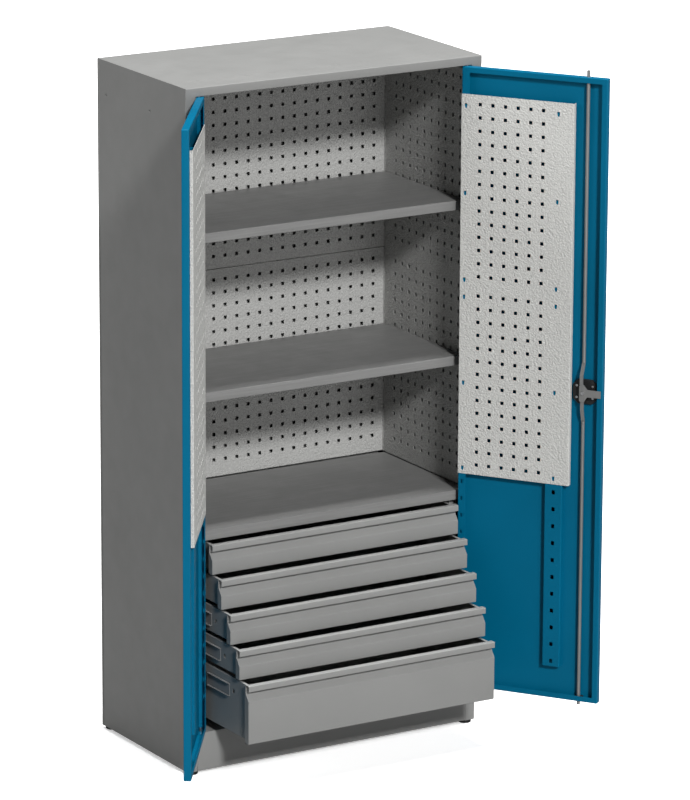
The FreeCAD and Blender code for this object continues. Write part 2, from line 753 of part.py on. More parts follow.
CAM_LOW = 22.6
CAM_THICK = 3
SCREW_TOP = 29.5
SCREW_RADIUS = 4.5
SPINDLE_RADIUS = 7
SPINDLE_BORE = 7.05
ROSE_RADIUS = 22
ROSE_OUT = "-6"
cam_outline = [
    (-10, -22), (-10, 20), (-6, 24), (3, 24), (14, 10.5),
    (54, 10), (54, -10), (14, -10.5), (3, -27), (-6, -27),
]
housing = lock_pad("lock_housing", octagon, "plate", str(HOUSING_DEEP))
node("lock_housing", hang(1, cut(housing, [spindle_bar(SPINDLE_BORE, "0", "20")])))
escutcheon = cut(spindle_bar(ROSE_RADIUS, ROSE_OUT, "0"), [spindle_bar(SPINDLE_BORE, "-8", "2")])
node("lock_escutcheon", hang(1, escutcheon))
spindle = spindle_bar(SPINDLE_RADIUS, ROSE_OUT, str(CAM_LOW))
cam_screw = spindle_bar(SCREW_RADIUS, str(CAM_LOW + CAM_THICK), str(SCREW_TOP))
node("lock_spindle", hang(1, group([spindle, cam_screw])))
node("lock_cam", hang(1, lock_pad("lock_cam", cam_outline, str(CAM_LOW), str(CAM_THICK))))

# handle: a round hub with a lever that points at the hinge when the lock is shut
HUB_RADIUS = 15
KEY_RADIUS = 8.9
KEY_SPAN = ("-27", "-18")
lever_outline = [
    (14, 9), (0, 15), (-14, 13), (-104, 9), (-110, 0), (-104, -9), (-14, -13), (0, -15), (14, -9)
]
lever = lock_pad("handle_lever", lever_outline, "-26", "10")
hub = spindle_bar(HUB_RADIUS, "-16", ROSE_OUT)
socket = spindle_bar(KEY_RADIUS + 0.1, *KEY_SPAN)
node("handle_lever", hang(1, cut(fuse([lever, hub]), [socket])))
node("key_cylinder", hang(1, spindle_bar(KEY_RADIUS, *KEY_SPAN)))

# rods: round over most of their length, flattened and cranked over or under the cam
FLAT_WIDE = 10
FLAT_HALF = 1.6
CRANK_START = 85
CRANK_END = 51
ROD_ENDS = (("rod_upper", 1, 27.5, 24), ("rod_lower", -1, 20.6, 26.5))
for name, sign, end_depth, end_gap in ROD_ENDS:
    start = f"lock_z + {sign} * {CRANK_START}"
    end = f"lock_z + {sign} * {CRANK_END}"
    tip = f"lock_z + {sign} * {end_gap}"
    straight = (start, "rod_tip") if sign > 0 else ("rod_foot", start)
    bar = door_rod(1, "rod_radius", "rod_u", "rod_depth", straight)
    # the flattened end's outline in v and z, padded across u
    far = "rod_depth"
    near = str(end_depth)
    outline = [
        (f"{far} - {FLAT_HALF}", f"{start} + {sign} * 4"),
        (f"{far} + {FLAT_HALF}", f"{start} + {sign} * 4"),
        (f"{far} + {FLAT_HALF}", start),
        (f"{near} + {FLAT_HALF}", end),
        (f"{near} + {FLAT_HALF}", tip),
        (f"{near} - {FLAT_HALF}", tip),
        (f"{near} - {FLAT_HALF}", end),
        (f"{far} - {FLAT_HALF}", start),
    ]
    flat = padded(name + "_end", "YZ_Plane", [(f"{v} - door_face", z) for v, z in outline], str(FLAT_WIDE))
    place(flat, f"-(rod_u) - {FLAT_WIDE / 2}")
    node(name, hang(1, fuse([bar, flat])))

# guides keep each rod upright, behind the hem at the door's top and bottom
guides = []
GUIDE_BORE = "rod_radius + 0.3"
for z in ("door_high - plate - 7", "door_low + plate + 7"):
    holder = door_box(1, ("rod_u - 11", "rod_u + 11"), ("plate", "rod_depth + 7"), (f"{z} - 6", f"{z} + 6"))
    bore = door_rod(1, GUIDE_BORE, "rod_u", "rod_depth", (f"{z} - 7", f"{z} + 7"))
    guides.append(cut(holder, [bore]))
node("rod_guides", hang(1, group(guides)))

# ---------------------------------------------------------------- check and write

doc.recompute()
for item in doc.Objects:
    if "Invalid" in item.State or "Error" in item.State:
        raise RuntimeError(f"{item.Label}: {item.State}")
os.makedirs("parts", exist_ok=True)
for name, item in nodes.items():
    shape = item.Shape
    if shape.isNull() or not shape.isValid() or not shape.Solids:
        raise RuntimeError(name + " has no valid shape")
    size = shape.BoundBox
    print(f"{name}: {len(shape.Solids)} solids, {shape.Volume / 1000:.1f} cm3, "
          f"x {size.XMin:.1f} {size.XMax:.1f} y {size.YMin:.1f} {size.YMax:.1f} "
          f"z {size.ZMin:.1f} {size.ZMax:.1f}")
    shape.exportStep(f"parts/{name}.step")
print(len(nodes), "nodes")
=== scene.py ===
import math

import bmesh
import bpy
import numpy as np
from mathutils import Euler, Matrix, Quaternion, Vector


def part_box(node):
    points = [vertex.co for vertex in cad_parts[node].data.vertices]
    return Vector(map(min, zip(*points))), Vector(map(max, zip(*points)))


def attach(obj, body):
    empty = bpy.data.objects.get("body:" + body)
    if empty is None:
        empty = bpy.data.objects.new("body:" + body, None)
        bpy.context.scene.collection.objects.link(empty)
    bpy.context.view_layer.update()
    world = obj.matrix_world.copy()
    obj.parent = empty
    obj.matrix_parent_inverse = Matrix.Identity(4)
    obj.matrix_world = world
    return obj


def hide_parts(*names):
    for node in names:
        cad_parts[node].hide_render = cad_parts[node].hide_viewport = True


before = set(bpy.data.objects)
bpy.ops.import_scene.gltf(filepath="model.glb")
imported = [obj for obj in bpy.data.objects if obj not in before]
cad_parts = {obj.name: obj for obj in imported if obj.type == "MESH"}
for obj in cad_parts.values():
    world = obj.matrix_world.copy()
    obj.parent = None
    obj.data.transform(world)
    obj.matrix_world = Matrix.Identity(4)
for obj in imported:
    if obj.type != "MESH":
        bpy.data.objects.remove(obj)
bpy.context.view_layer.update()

# ------------------------------------------------------------------ side panels
# Each side is one sheet of 1.2 mm steel: a flat wall whose front edge is folded twice into a
# post and whose rear edge is folded once. It is laser cut, bent on a press brake and powder
# coated in mid grey. Two small holes near the top take the screws to the next cabinet.
MM = 0.001
PLATE = 1.2
HALF_WIDTH = 475
HALF_DEPTH = 250
FOOT = 10
CABINET_TOP = 1960
LIP_LOW = 1935
BEND = 2.4
GREY_COAT = (0.215, 0.216, 0.211)
SIDES = (("left", -1), ("right", 1))


def fold(corners, bends, turns=5):
    """The line of a folded sheet. Each inner corner gives way to an arc that touches both runs:
    a point at angle a is its start + r sin(a) along the first run + r (1 - cos(a)) across it."""
    points = np.asarray(corners, float)
    run = np.diff(points, axis=0)
    run /= np.linalg.norm(run, axis=1)[:, None]
    before, after = run[:-1], run[1:]
    cross = before[:, 0] * after[:, 1] - before[:, 1] * after[:, 0]
    swing = np.arctan2(cross, (before * after).sum(1))
    radius = np.broadcast_to(np.asarray(bends, float), swing.shape)[:, None]
    start = points[1:-1] - before * radius * np.tan(np.abs(swing) / 2)[:, None]
    across = np.stack([-before[:, 1], before[:, 0]], 1) * np.sign(swing)[:, None]
    angle = np.abs(swing)[:, None] * np.linspace(0, 1, turns + 1)
    arc = (
        start[:, None]
        + before[:, None] * (radius * np.sin(angle))[..., None]
        + across[:, None] * (radius * (1 - np.cos(angle)))[..., None]
    )
    return np.concatenate([points[:1], arc.reshape(-1, 2), points[-1:]])


def sheet_outline(line, thick):
    """The closed outline of a sheet: its line, then back along the same line moved sideways. A
    point moves along the sum of its two runs' normals divided by 1 + their dot product."""
    run = np.diff(line, axis=0)
    run /= np.linalg.norm(run, axis=1)[:, None]
    side = np.stack([-run[:, 1], run[:, 0]], 1)
    first = np.concatenate([side[:1], side])
    second = np.concatenate([side, side[-1:]])
    shift = (first + second) / (1 + (first * second).sum(1))[:, None]
    return np.concatenate([line, (line + shift * thick)[::-1]])


def loft(rings, ends=True, ring_shut=False):
    """A skin over a stack of closed rings: each point joins the next one in its ring and the
    same one in the next ring. The end rings are closed flat, or joined where ring_shut is set."""
    count, around = rings.shape[:2]
    last = count if ring_shut else count - 1
    i, j = np.meshgrid(np.arange(last), np.arange(around), indexing="ij")
    k, n = (j + 1) % around, (i + 1) % count
    quads = np.stack([i * around + j, i * around + k, n * around + k, n * around + j], -1)
    faces = quads.reshape(-1, 4).tolist()
    if ends and not ring_shut:
        faces += [list(range(around)), list(range((count - 1) * around, count * around))]
    return rings.reshape(-1, 3), faces


AXES = {"x": (1, 2, 0), "y": (0, 2, 1), "z": (0, 1, 2)}


def carried(outline, along, start, end):
    """An outline carried straight along an axis from start to end; its own two coordinates are
    the other two axes in order."""
    a, b, w = AXES[along]
    rings = np.zeros((2, len(outline), 3))
    rings[:, :, a] = outline[:, 0]
    rings[:, :, b] = outline[:, 1]
    rings[:, :, w] = np.array([start, end])[:, None]
    return loft(rings)


# points round a hole, three at each corner
RING = 12


def pierced(u_lines, v_lines, holes, thick, corner=0.3, rolled=0.4):
    """A flat sheet on a net of lines, from depth 0 to thick. Each hole is (u, v, half width,
    half height); it sits in a cell of the net, as a rounded square ring of RING points whose edge
    is rolled over. A corner of the ring is its middle + corner (cos a, sin a); corner is one share
    of the half width, or four, turning from the upper right."""
    u_lines, v_lines, holes = (np.asarray(a, float) for a in (u_lines, v_lines, holes))
    nu, nv = len(u_lines), len(v_lines)
    net = np.stack(np.meshgrid(u_lines, v_lines, indexing="ij"), -1).reshape(-1, 2)
    column = np.searchsorted(u_lines, holes[:, 0]) - 1
    row = np.searchsorted(v_lines, holes[:, 1]) - 1
    signs = np.array([(1, 1), (-1, 1), (-1, -1), (1, -1)])
    angle = np.arange(4)[:, None] * math.pi / 2 + np.linspace(0, math.pi / 2, RING // 4)
    share = np.broadcast_to(np.asarray(corner, float), 4)[:, None, None]
    ring = signs[:, None] * (1 - share) + share * np.stack([np.cos(angle), np.sin(angle)], -1)
    ring = ring.reshape(-1, 2)
    narrow = holes[:, None, :2] + ring * holes[:, None, 2:]
    wide = holes[:, None, :2] + ring * (holes[:, None, 2:] + rolled)
    wide, narrow = wide.reshape(-1, 2), narrow.reshape(-1, 2)
    layers = [(net, 0), (net, thick), (wide, 0), (narrow, rolled), (narrow, thick)]
    points = np.concatenate([np.column_stack([flat, np.full(len(flat), d)]) for flat, d in layers])
    start = np.cumsum([0] + [len(flat) for flat, _ in layers])
    i, j = (a.ravel() for a in np.meshgrid(np.arange(nu - 1), np.arange(nv - 1), indexing="ij"))
    plain = ~np.isin(i * nv + j, column * nv + row)
    cells = np.stack([i * nv + j, (i + 1) * nv + j, (i + 1) * nv + j + 1, i * nv + j + 1], 1)
    cells = cells[plain]
    faces = cells.tolist() + (cells + nu * nv).tolist()
    rim = np.concatenate([
        np.arange(nu) * nv, (nu - 1) * nv + np.arange(1, nv),
        np.arange(nu - 2, -1, -1) * nv + nv - 1, np.arange(nv - 2, 0, -1),
    ])
    after = np.roll(rim, -1)
    faces += np.stack([rim, after, after + nu * nv, rim + nu * nv], 1).tolist()
    here, there = column * nv + row, (column + 1) * nv + row
    near = np.stack([there + 1, here + 1, here, there], 1)
    first = np.arange(len(holes))[:, None] * RING
    for cell, base in ((near, start[2]), (near + nu * nv, start[4])):
        at = base + first + np.arange(RING)
        corners = at.reshape(-1, 4, RING // 4)
        across = [cell, np.roll(cell, -1, 1), np.roll(corners, -1, 1)[..., 0], corners[..., 2]]
        faces += np.stack(across, -1).reshape(-1, 4).tolist()
        faces += np.stack([cell, corners[..., 0], corners[..., 1]], -1).reshape(-1, 3).tolist()
        faces += np.stack([cell, corners[..., 1], corners[..., 2]], -1).reshape(-1, 3).tolist()
    around = first + np.arange(RING)
    onward = first + (np.arange(RING) + 1) % RING
    for above, below in ((start[2], start[3]), (start[3], start[4])):
        wall = [above + around, above + onward, below + onward, below + around]
        faces += np.stack(wall, -1).reshape(-1, 4).tolist()
    return points, faces


def net_lines(low, high, middles, half):
    """The net's lines: both ends, and a line on each side of every hole's cell."""
    edges = np.concatenate([np.asarray(middles) - half, np.asarray(middles) + half])
    return np.unique(np.round(np.concatenate([[low, high], edges]), 3))


def moved(shell, origin, u, v, w):
    """A shell drawn in (u, v, depth), stood in the cabinet: origin + u U + v V + depth W."""
    points, faces = shell
    return np.asarray(origin, float) + points @ np.array([u, v, w], float), faces


def handed(shell, hand):
    """A shell drawn on the right side, mirrored to the left where hand is -1."""
    points, faces = shell
    return points * (hand, 1, 1), faces


# in metres: corners nearer than MEET are one, edges shorter than THIN are dropped
MEET = 1e-6
THIN = 1e-7
CREASE = math.radians(32)


def piece(name, shells, material, slot, body, *nodes):
    """One piece from closed shells in millimetres: in each, corners that meet are merged and
    the faces turned outwards. It rides on its body and stands for its CAD nodes."""
    whole = bmesh.new()
    for points, faces in shells:
        mesh = bpy.data.meshes.new(name)
        mesh.from_pydata((np.asarray(points) * MM).tolist(), [], faces)
        part = bmesh.new()
        part.from_mesh(mesh)
        bmesh.ops.remove_doubles(part, verts=part.verts, dist=MEET)
        bmesh.ops.dissolve_degenerate(part, edges=part.edges, dist=THIN)
        bmesh.ops.recalc_face_normals(part, faces=part.faces)
        part.to_mesh(mesh)
        part.free()
        whole.from_mesh(mesh)
        bpy.data.meshes.remove(mesh)
    mesh = bpy.data.meshes.new(name)
    whole.to_mesh(mesh)
    whole.free()
    mesh.shade_smooth()
    mesh.set_sharp_from_angle(angle=CREASE)
    made = bpy.data.objects.new(name, mesh)
    bpy.context.scene.collection.objects.link(made)
    made.data.materials.append(material)
    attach(made, body)
    if nodes:
        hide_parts(*nodes)
    return made


def coat_group(name):
    """An empty node group of a finish, from a vector and a size to a height, a tone and a gloss."""
    made = bpy.data.node_groups.new(name, "ShaderNodeTree")
    for label, kind in (("Vector", "NodeSocketVector"), ("Size", "NodeSocketFloat")):
        made.interface.new_socket(name=label, in_out="INPUT", socket_type=kind)
    for label in ("Height", "Tone", "Gloss"):
        made.interface.new_socket(name=label, in_out="OUTPUT", socket_type="NodeSocketFloat")
    take = made.nodes.new("NodeGroupInput")
    return made, take.outputs["Vector"], take.outputs["Size"], made.nodes.new("NodeGroupOutput")


def noise(tree, vector, scale, detail=2.0, rough=0.5):
    """A noise texture; its scale is a number or a socket."""
    made = tree.nodes.new("ShaderNodeTexNoise")
    made.inputs["Detail"].default_value = detail
    made.inputs["Roughness"].default_value = rough
    tree.links.new(vector, made.inputs["Vector"])
    if isinstance(scale, (int, float)):
        made.inputs["Scale"].default_value = scale
    else:
        tree.links.new(scale, made.inputs["Scale"])
    return made.outputs["Fac"]


def reckon(tree, kind, a, b):
    """One sum on two sockets or numbers."""
    made = tree.nodes.new("ShaderNodeMath")
    made.operation = kind
    for socket, value in zip(made.inputs, (a, b)):
        if isinstance(value, (int, float)):
            socket.default_value = value
        else:
            tree.links.new(value, socket)
    return made.outputs[0]


def span(tree, value, low, high, to_low, to_high):
    """A value taken from one range to another, held at the ends."""
    made = tree.nodes.new("ShaderNodeMapRange")
    tree.links.new(value, made.inputs["Value"])
    labels = ("From Min", "From Max", "To Min", "To Max")
    for label, number in zip(labels, (low, high, to_low, to_high)):
        made.inputs[label].default_value = number
    return made.outputs["Result"]


def results(tree, give, height, tone, gloss):
    """A coat group's results: the height as it is, and tone and gloss, each a value with its low
    and high end, taken to 0 to 1."""
    tree.links.new(height, give.inputs["Height"])
    tree.links.new(span(tree, *tone, 0.0, 1.0), give.inputs["Tone"])
    tree.links.new(span(tree, *gloss, 0.0, 1.0), give.inputs["Gloss"])


# powder coat: a fine orange peel over slow waves, and soft patches where the film is thicker
FINE_COAT, where, size, give = coat_group("fine_coat")
grain = noise(FINE_COAT, where, size, detail=2.0, rough=0.55)
waves = noise(FINE_COAT, where, 34.0, detail=1.0)
patches = noise(FINE_COAT, where, 5.0, detail=3.0)
film = reckon(FINE_COAT, "ADD", patches, reckon(FINE_COAT, "MULTIPLY", grain, 0.5))
sheen = noise(FINE_COAT, where, 17.0, detail=4.0)
results(FINE_COAT, give, reckon(FINE_COAT, "ADD", grain, waves), (film, 0.5, 1.0), (sheen, 0.3, 0.7))


def finish(name, group, size, colours, rough, depth, metal=0.0, stretch=(1, 1, 1), gleam=0.25):
    """A finish: the group's tone mixes two colours, its gloss moves the roughness between two
    values, and its height raises the surface by a depth in metres."""
    made = bpy.data.materials.new(name)
    made.use_nodes = True
    tree = made.node_tree
    shader = tree.nodes["Principled BSDF"]
    where = tree.nodes.new("ShaderNodeTexCoord")
    turn = tree.nodes.new("ShaderNodeMapping")
    turn.inputs["Scale"].default_value = stretch
    tree.links.new(where.outputs["Object"], turn.inputs["Vector"])
    pattern = tree.nodes.new("ShaderNodeGroup")
    pattern.node_tree = group
    pattern.inputs["Size"].default_value = size
    tree.links.new(turn.outputs["Vector"], pattern.inputs["Vector"])
    mix = tree.nodes.new("ShaderNodeMix")
    mix.data_type = "RGBA"
    mix.inputs["A"].default_value = (*colours[1], 1)
    mix.inputs["B"].default_value = (*colours[0], 1)
    tree.links.new(pattern.outputs["Tone"], mix.inputs["Factor"])
    tree.links.new(mix.outputs["Result"], shader.inputs["Base Color"])
    tree.links.new(span(tree, pattern.outputs["Gloss"], 0.0, 1.0, *rough), shader.inputs["Roughness"])
    bump = tree.nodes.new("ShaderNodeBump")
    bump.inputs["Distance"].default_value = depth
    tree.links.new(pattern.outputs["Height"], bump.inputs["Height"])
    tree.links.new(bump.outputs["Normal"], shader.inputs["Normal"])
    shader.inputs["Metallic"].default_value = metal
    shader.inputs["Specular IOR Level"].default_value = gleam
    return made


def shaded(colour, share):
    """A colour, and the same colour brought down by a share."""
    return colour, tuple(part * share for part in colour)


COAT_GRAIN = 420.0
COAT_DEPTH = 0.00012
COAT_ROUGH = (0.42, 0.56)
CARCASS_COLOURS = shaded(GREY_COAT, 0.93)
carcass_paint = finish("carcass_grey_coat", FINE_COAT, COAT_GRAIN, CARCASS_COLOURS, COAT_ROUGH, COAT_DEPTH)


def repaint(material, *names):
    """Give carried-over CAD nodes their finish."""
    for name in names:
        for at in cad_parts[name].material_slots:
            at.material = material


POST_WIDE = 32
POST_DEEP = 35
FLANGE = 24
INNER_WIDE = HALF_WIDTH - PLATE
POST_INNER = HALF_WIDTH - POST_WIDE
FLAT_END = 240
EASED = 0.4
CORNER_FRONT = EASED - HALF_DEPTH
HOLE_ROW = 1863.8
HOLE_SPOTS = (-50, 200)
HOLE_RADIUS = 3
HOLE_CELL = 20
for side, hand in SIDES:
    rear = fold([
        (INNER_WIDE - FLANGE, HALF_DEPTH - PLATE), (HALF_WIDTH, HALF_DEPTH - PLATE), (HALF_WIDTH, FLAT_END),
    ], [BEND])
    front = fold([
        (HALF_WIDTH, -FLAT_END), (HALF_WIDTH, -HALF_DEPTH), (POST_INNER, -HALF_DEPTH),
        (POST_INNER, POST_DEEP - HALF_DEPTH),
    ], [BEND, BEND])
    corner_top = np.array([
        (HALF_WIDTH, -FLAT_END), (HALF_WIDTH, CORNER_FRONT),
        (INNER_WIDE, CORNER_FRONT), (INNER_WIDE, -FLAT_END),
    ])
    foot = np.array([(INNER_WIDE, FOOT), (HALF_WIDTH - POST_DEEP, FOOT)])
    ledge = np.array([(POST_INNER + PLATE, FOOT), (INNER_WIDE, FOOT)])
    wall = pierced(
        net_lines(-FLAT_END, FLAT_END, HOLE_SPOTS, HOLE_CELL),
        net_lines(FOOT, CABINET_TOP, [HOLE_ROW], HOLE_CELL),
        [(y, HOLE_ROW, HOLE_RADIUS, HOLE_RADIUS) for y in HOLE_SPOTS], PLATE, corner=1.0, rolled=0.5,
    )
    shells = [
        moved(wall, (HALF_WIDTH, 0, 0), (0, 1, 0), (0, 0, 1), (-1, 0, 0)),
        carried(sheet_outline(rear, PLATE), "z", FOOT, CABINET_TOP - PLATE),
        carried(sheet_outline(front, -PLATE), "z", FOOT, LIP_LOW),
        carried(corner_top, "z", LIP_LOW, CABINET_TOP),
        carried(sheet_outline(foot, -PLATE), "y", POST_DEEP - HALF_DEPTH, HALF_DEPTH - 3 * PLATE),
        carried(sheet_outline(ledge, PLATE), "y", PLATE - HALF_DEPTH, POST_DEEP - HALF_DEPTH),
    ]
    shells = [handed(shell, hand) for shell in shells]
    piece("side_sheet_" + side, shells, carcass_paint, "carcass_grey", "cabinet", "side_panel_" + side)

# ------------------------------------------------------------------ back, top, floor and plinth
# The back is a flat sheet riveted to the sides' rear folds. The top is folded down at the front
# into the lip over the doors, the floor lies on the plinth, and all are welded to the sides.


def both_ends(outline, inner, outer):
    """An outline carried along x at both ends of a piece, between two distances from its middle."""
    return [carried(outline, "x", *sorted((hand * inner, hand * outer))) for _, hand in SIDES]


LIP_LINE = [
    (HALF_DEPTH - PLATE, CABINET_TOP), (-HALF_DEPTH, CABINET_TOP), (-HALF_DEPTH, LIP_LOW),
    (FLANGE - HALF_DEPTH, LIP_LOW),
]
roof = sheet_outline(fold(LIP_LINE, [BEND, BEND]), PLATE)
over_post = sheet_outline(fold(LIP_LINE[:3], [BEND]), PLATE)
shells = [carried(roof, "x", -POST_INNER, POST_INNER)] + both_ends(over_post, POST_INNER, INNER_WIDE)
piece("top_sheet", shells, carcass_paint, "carcass_grey", "cabinet", "top_panel")
repaint(carcass_paint, "back_sheet", "floor_panel", "plinth_rear")
PLINTH_TOP = 119.8
PLINTH_LINE = [(-HALF_DEPTH, PLINTH_TOP), (-HALF_DEPTH, FOOT), (POST_DEEP - HALF_DEPTH, FOOT)]
plinth = carried(sheet_outline(fold(PLINTH_LINE, [BEND]), PLATE), "x", -POST_INNER, POST_INNER)
piece("plinth_sheet", [plinth], carcass_paint, "carcass_grey", "cabinet", "plinth_front")

# ------------------------------------------------------------------ levelling glides
# Black moulded discs on threaded zinc-plated stems; the disc's sole is domed, its rim is ribbed
# for turning by hand, and a nut locks the stem in the bottom flange.
MOULDED = shaded((0.012, 0.012, 0.012), 0.6)
black_plastic = finish("moulded_black", FINE_COAT, 900.0, MOULDED, (0.5, 0.65), 0.00008)
ZINC = shaded((0.55, 0.56, 0.57), 0.8)
zinc = finish("zinc_plate", FINE_COAT, 300.0, ZINC, (0.28, 0.42), 0.00004, metal=1.0)
GLIDE_RADIUS = 19
AROUND = 96
RIBS = 24
RIB_DEEP = 0.3
RIBS_FROM = 15
SOLE = [(6, 0), (15.5, 0), (17.6, 0.8), (18.6, 2.4), (18.7, 7.2), (18.2, 8.6), (16.5, 9.2), (9, 9.6), (7, 10)]


def ribbed_disc(profile, middle):
    """A turned disc: each (radius, height) of the profile carried round the vertical axis. Beyond
    RIBS_FROM the radius swells by RIB_DEEP cos(RIBS a)."""
    angle = np.arange(AROUND) * 2 * math.pi / AROUND
    radius, height = np.asarray(profile, float).T
    swell = radius[:, None] + RIB_DEEP * np.cos(RIBS * angle) * (radius > RIBS_FROM)[:, None]
    height = np.broadcast_to(height[:, None], swell.shape)
    rings = np.stack([swell * np.cos(angle), swell * np.sin(angle), height], -1)
    return loft(rings + np.asarray(middle, float))


glide_low, glide_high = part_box("glides")
discs = [
    ribbed_disc(SOLE, (x, y, 0))
    for x in (glide_low.x / MM + GLIDE_RADIUS, glide_high.x / MM - GLIDE_RADIUS)
    for y in (glide_low.y / MM + GLIDE_RADIUS, glide_high.y / MM - GLIDE_RADIUS)
]
piece("glide_discs", discs, black_plastic, "glide_black", "cabinet", "glides")
repaint(zinc, "glide_nuts", "pivot_bearings", "shelf_clips")

# ------------------------------------------------------------------ perforated linings
# Back and side walls inside are lined with sheets punched with 10 mm square holes on a 38 mm
# pitch for tool hooks. Their edges are folded back, and the paint is a hammered light grey.
HAMMERED, where, size, give = coat_group("hammered")
cells = HAMMERED.nodes.new("ShaderNodeTexVoronoi")
cells.feature = "SMOOTH_F1"
cells.inputs["Smoothness"].default_value = 0.6
HAMMERED.links.new(where, cells.inputs["Vector"])
HAMMERED.links.new(size, cells.inputs["Scale"])
dents = cells.outputs["Distance"]
lumps = noise(HAMMERED, where, size, detail=2.0, rough=0.6)
raised = reckon(HAMMERED, "SUBTRACT", lumps, reckon(HAMMERED, "MULTIPLY", dents, 0.35))
sheen = noise(HAMMERED, where, 40.0, detail=3.0)
results(HAMMERED, give, reckon(HAMMERED, "ADD", dents, lumps), (raised, 0.1, 0.5), (sheen, 0.3, 0.7))
HAMMER_SIZE = 190.0
HAMMER_DEPTH = 0.0016
HAMMER_ROUGH = (0.4, 0.55)
LINING_COAT = shaded((0.37, 0.37, 0.36), 0.82)
lining_paint = finish("hammered_grey", HAMMERED, HAMMER_SIZE, LINING_COAT, HAMMER_ROUGH, HAMMER_DEPTH)

PITCH = 38
CELL_GAP = 4
CELL = (PITCH / 2, PITCH / 2 - CELL_GAP)
HOLE_HALF = 5
SEAM = 1315.5
SEAM_GAP = 0.5
LINING_LOW = 702
LINING_TOP = 1912.5
UPPER_ROW = 1884.5
LOWER_ROW = 1284.0
ROWS = 15
LEVELS = {
    "upper": (SEAM + SEAM_GAP, LINING_TOP, UPPER_ROW - np.arange(ROWS) * PITCH),
    "lower": (LINING_LOW, SEAM - SEAM_GAP, LOWER_ROW - np.arange(ROWS) * PITCH),
}
BACK_COLUMNS = 23
SIDE_COLUMNS = 10
LINING_BACK = 232
LINING_HALF = 454
LINING_HEM = 14.4
HEM_BEND = BEND - 0.1


def hole_grid(columns, rows):
    """Square holes at every crossing of columns and rows."""
    return [(u, v, HOLE_HALF, HOLE_HALF) for u in columns for v in rows]


def columns_of(count):
    """Columns on the hooks' pitch on both sides of the middle."""
    return (np.arange(count) - (count - 1) / 2) * PITCH


columns = columns_of(BACK_COLUMNS)
for level, (low, high, rows) in LEVELS.items():
    face = pierced(
        net_lines(-LINING_HALF, LINING_HALF, columns, CELL[0]),
        net_lines(low + BEND, high - BEND, rows, CELL[1]),
        hole_grid(columns, rows), PLATE,
    )
    shells = [moved(face, (0, LINING_BACK, 0), (1, 0, 0), (0, 0, 1), (0, 1, 0))]
    for edge, inward in ((low, 1), (high, -1)):
        corners = [
            (LINING_BACK, edge + inward * BEND), (LINING_BACK, edge), (LINING_BACK + LINING_HEM, edge),
        ]
        hem = sheet_outline(fold(corners, [HEM_BEND]), inward * PLATE)
        shells.append(carried(hem, "x", -LINING_HALF, LINING_HALF))
    name = "back_lining_sheet_" + level
    piece(name, shells, lining_paint, "lining_grey", "cabinet", "back_lining_" + level)

columns = columns_of(SIDE_COLUMNS)
rows = np.concatenate([level_rows for _, _, level_rows in LEVELS.values()])
SIDE_FRONT = -212
SIDE_BACK = 231.5
SIDE_LINING = 455
for side, hand in SIDES:
    face = pierced(
        net_lines(SIDE_FRONT + BEND, SIDE_BACK - BEND, columns, CELL[0]),
        net_lines(LINING_LOW, LINING_TOP, rows, CELL[1]), hole_grid(columns, rows), PLATE,
    )
    shells = [moved(face, (hand * SIDE_LINING, 0, 0), (0, 1, 0), (0, 0, 1), (hand, 0, 0))]
    for edge, inward in ((SIDE_FRONT, 1), (SIDE_BACK, -1)):
        corners = [(SIDE_LINING, edge + inward * BEND), (SIDE_LINING, edge), (INNER_WIDE, edge)]
        hem = sheet_outline(fold(corners, [HEM_BEND]), -inward * PLATE)
        shells.append(handed(carried(hem, "z", LINING_LOW, LINING_TOP), hand))
    name = "side_lining_sheet_" + side
    piece(name, shells, lining_paint, "lining_grey", "cabinet", "side_lining_" + side)

# ------------------------------------------------------------------ shelves and drawer block cover
# Shelf sheets are folded down all round and hemmed under for stiffness. They are powder coated
# in a grey a little darker than the carcass, and the rolling direction still shows as fine lines.
ROLLED, where, size, give = coat_group("rolled_sheet")
stretched = ROLLED.nodes.new("ShaderNodeMapping")
stretched.inputs["Scale"].default_value = (0.03, 1.0, 1.0)
ROLLED.links.new(where, stretched.inputs["Vector"])
lines = noise(ROLLED, stretched.outputs["Vector"], size, detail=4.0, rough=0.6)
peel = noise(ROLLED, where, 400.0, detail=1.0)
sheen = noise(ROLLED, where, 12.0, detail=3.0)
results(ROLLED, give, reckon(ROLLED, "ADD", lines, peel), (lines, 0.32, 0.68), (sheen, 0.3, 0.7))
SHELF_COAT = shaded((0.19, 0.19, 0.187), 0.82)
shelf_paint = finish("shelf_grey_coat", ROLLED, 160.0, SHELF_COAT, (0.4, 0.52), 0.0001)


def tray(width, high, path, corner, turns=4):
    """A profile of (inset, depth) points carried round a rectangle with rounded corners. At
    inset i a corner's radius is corner - i or nothing, and its middle is drawn in by the rest."""
    inset, depth = np.asarray(path, float).T
    angle = (np.arange(4)[:, None] * math.pi / 2 + np.linspace(0, math.pi / 2, turns + 1)).ravel()
    sign_u = np.repeat([1, -1, -1, 1], turns + 1)
    sign_v = np.repeat([1, 1, -1, -1], turns + 1)
    radius = np.maximum(corner - inset, 0)[:, None]
    drawn = np.maximum(corner, inset)[:, None]
    u = sign_u * (width / 2 - drawn) + radius * np.cos(angle)
    v = sign_v * (high / 2 - drawn) + radius * np.sin(angle)
    return np.stack([u, v, np.broadcast_to(depth[:, None], u.shape)], -1)


